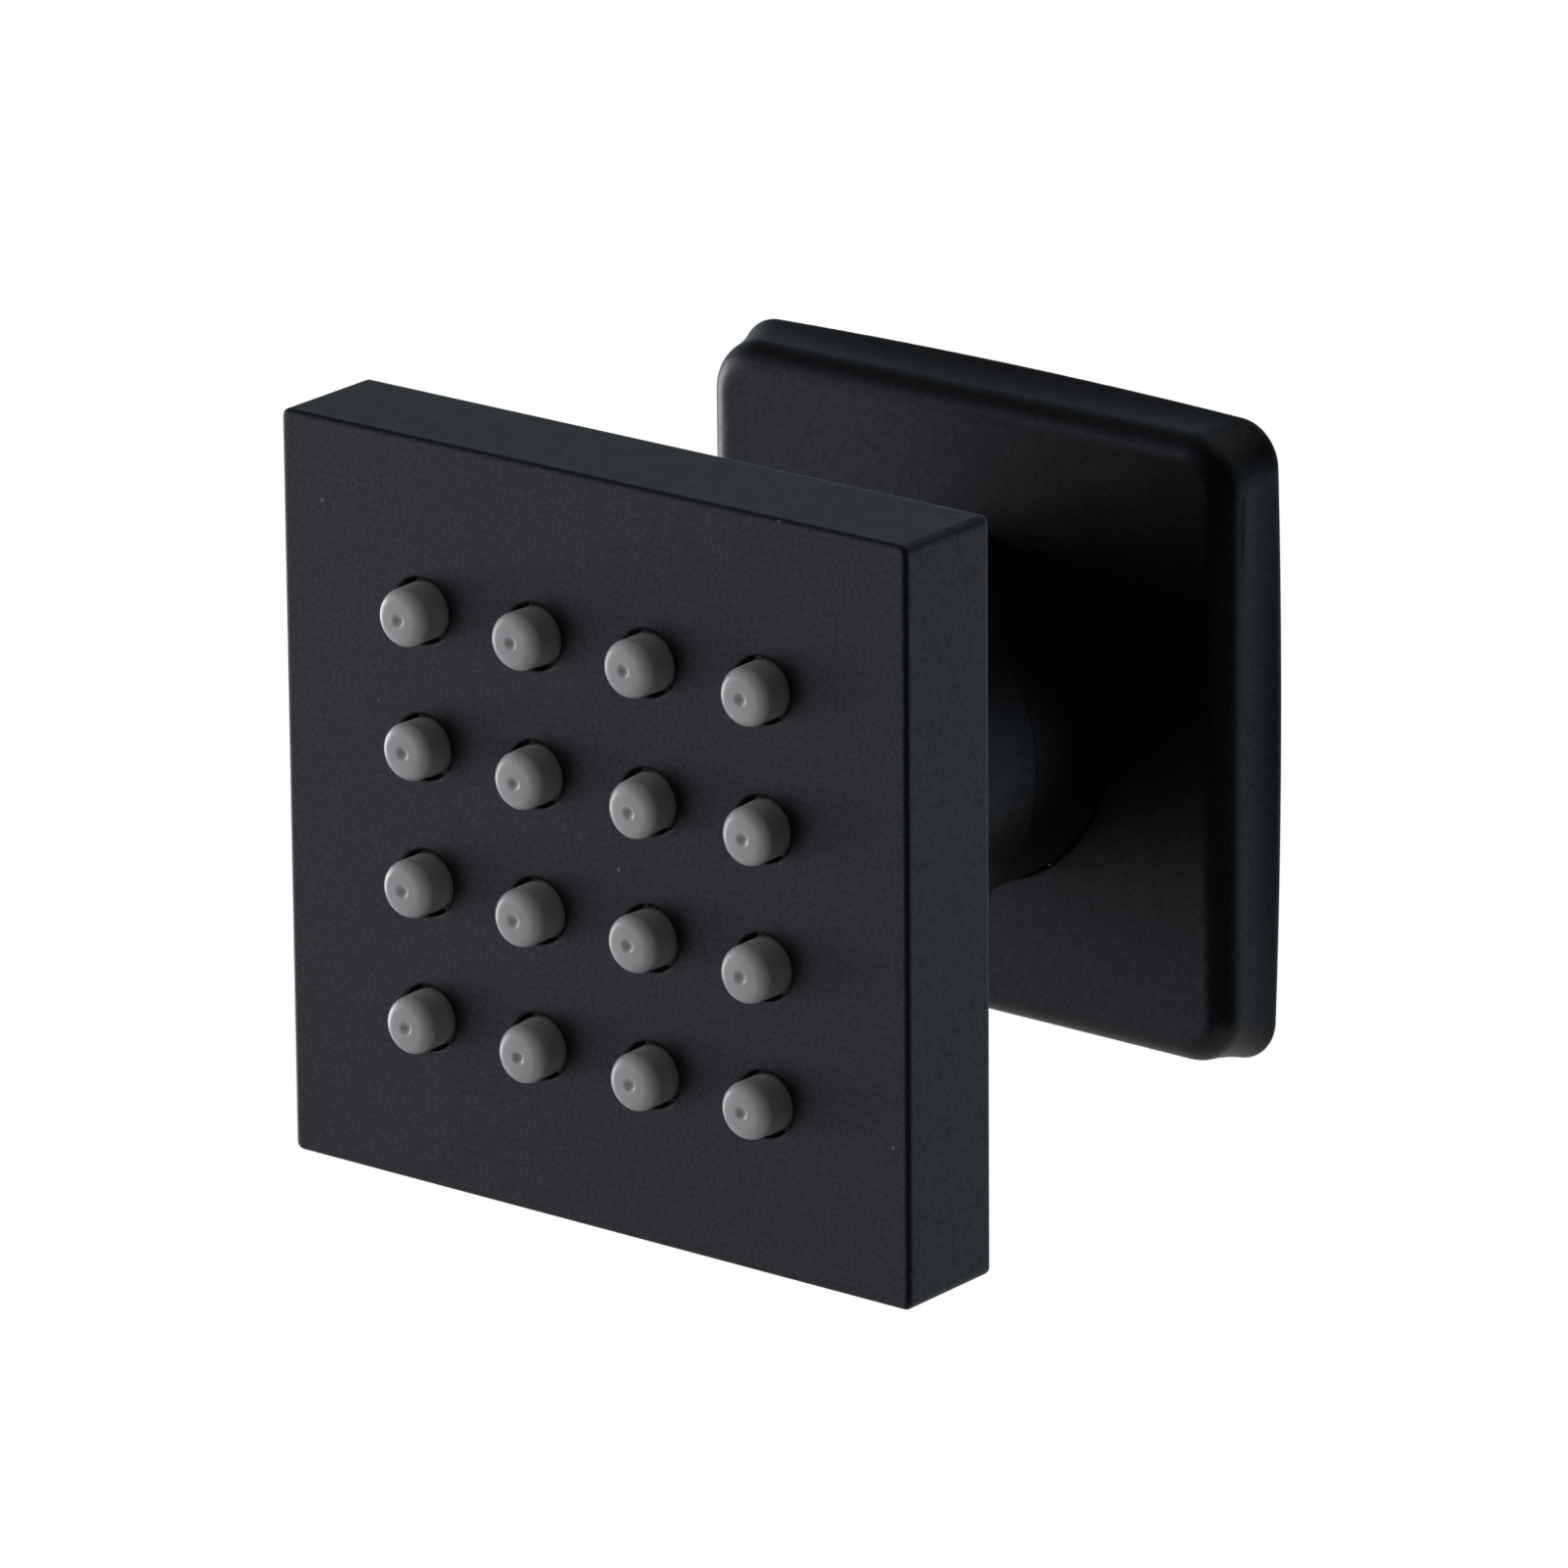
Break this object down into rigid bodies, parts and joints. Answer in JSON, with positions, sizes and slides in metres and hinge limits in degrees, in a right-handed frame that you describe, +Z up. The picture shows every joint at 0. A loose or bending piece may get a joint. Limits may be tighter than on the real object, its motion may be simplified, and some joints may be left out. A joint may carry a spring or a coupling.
{
  "type": "wall shower head",
  "caption": "Square black wall shower head with soft grey nozzles on a ball joint, with a square wall flange and a threaded inlet.",
  "frame": {"origin": "centre of the inlet thread's mouth, in the wall plane", "axes": "+Z up, -Y out of the wall towards the user, +Y along the inlet thread out of its mouth"},
  "size_m": [0.055, 0.0505, 0.055],
  "materials": {
    "black_powder_coat": "matt powder coat",
    "black_satin": "satin black",
    "grey_silicone": "soft matt",
    "black_rubber": "matt",
    "white_acetal": "moulded",
    "stainless": "brushed",
    "brass": "turned"
  },
  "bodies": {
    "wall_side": {"housing": "black_satin", "ball_nut": "black_satin", "nut_seal": "black_rubber", "rear_ball_seat": "white_acetal", "inlet_washer": "black_rubber", "inlet_strainer": "stainless", "flow_regulator": "white_acetal", "regulator_o_ring": "black_rubber"},
    "wall_flange": {"flange": "black_satin", "flange_grip_ring": "black_rubber"},
    "cup": {"ball_cup": "white_acetal"},
    "ring": {"ball_o_ring": "black_rubber"},
    "head": {"spray_shell": "black_powder_coat", "nozzle_mat": "grey_silicone", "distributor_plate": "white_acetal", "cover_gasket": "black_rubber", "rear_cover": "black_powder_coat", "cover_screws": "stainless", "ball_stem": "brass", "stem_seal": "black_rubber"}
  },
  "joints": [
    {"name": "head_pitch", "type": "hinge", "parent": "wall_side", "child": "cup", "pos_m": [0, -0.024, 0], "axis": [1, 0, 0], "range_deg": [-15, 15]},
    {"name": "head_yaw", "type": "hinge", "parent": "cup", "child": "ring", "pos_m": [0, -0.024, 0], "axis": [0, 0, 1], "range_deg": [-15, 15]},
    {"name": "head_spin", "type": "hinge", "parent": "ring", "child": "head", "pos_m": [0, -0.024, 0], "axis": [0, -1, 0], "continuous": true},
    {"name": "flange_slide", "type": "slide", "parent": "wall_side", "child": "wall_flange", "axis": [0, -1, 0], "range_m": [0, 0.0085]}
  ]
}
